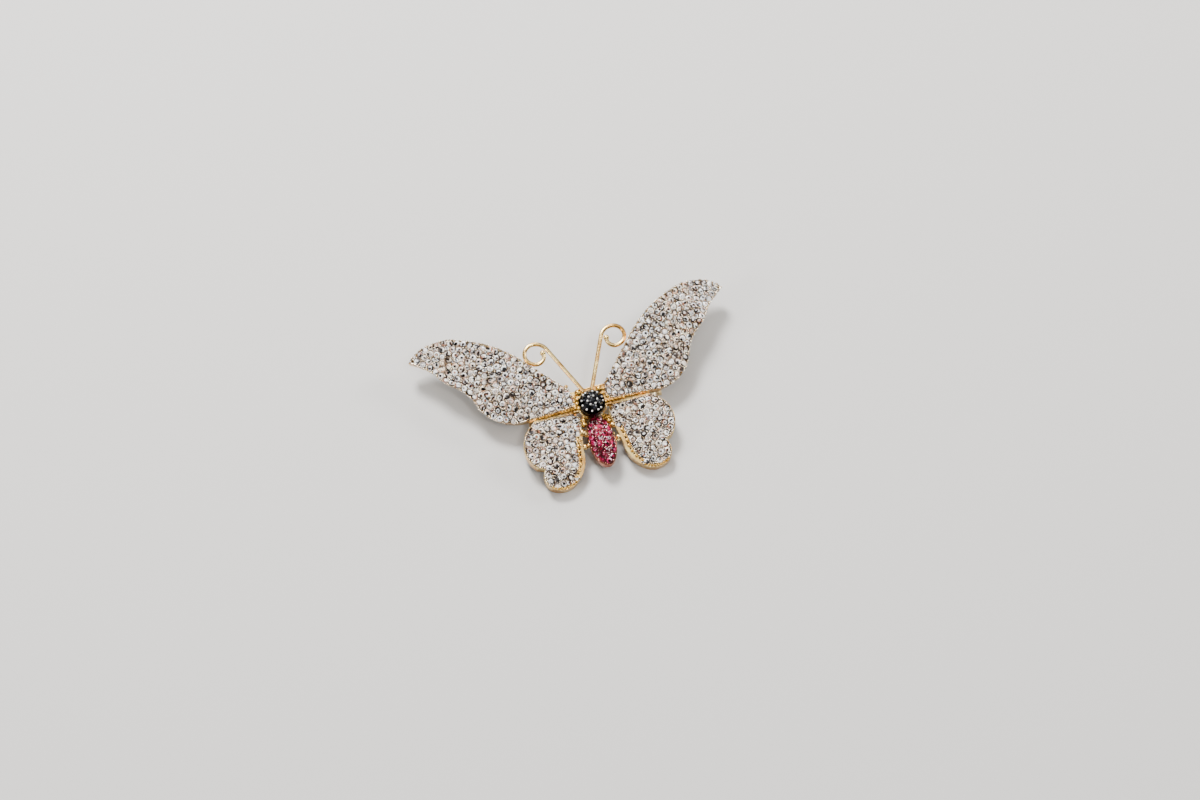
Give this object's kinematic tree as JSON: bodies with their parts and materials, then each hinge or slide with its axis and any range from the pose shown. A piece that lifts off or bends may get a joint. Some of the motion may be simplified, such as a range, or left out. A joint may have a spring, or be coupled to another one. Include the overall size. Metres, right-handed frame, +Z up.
{
  "type": "butterfly brooch",
  "caption": "Butterfly brooch with stone-set domed wings, a dark round head, a red oval body, curled antennae and a pin across the back.",
  "frame": {"origin": "centre of the whole object's box at the level of the surface it lies on", "axes": "+X across the wings to the viewer's right, +Y towards the antennae along that surface, +Z up, out of the front"},
  "size_m": [0.0528, 0.0292, 0.0073],
  "materials": {
    "gold": "polished yellow gold",
    "rose_gold": "polished rose gold",
    "black_setting": "black plated, glossy",
    "white_stone": "cut and polished, clear",
    "black_stone": "cut and polished, black",
    "ruby": "cut and polished, red"
  },
  "bodies": {
    "root": {"frame": "gold", "brooch_pin": "gold", "head_setting": "black_setting", "abdomen_setting": "rose_gold", "head_stones": "black_stone", "abdomen_stones": "ruby", "forewing_left_stones": "white_stone", "forewing_right_stones": "white_stone", "hindwing_left_stones": "white_stone", "hindwing_right_stones": "white_stone"}
  },
  "joints": []
}
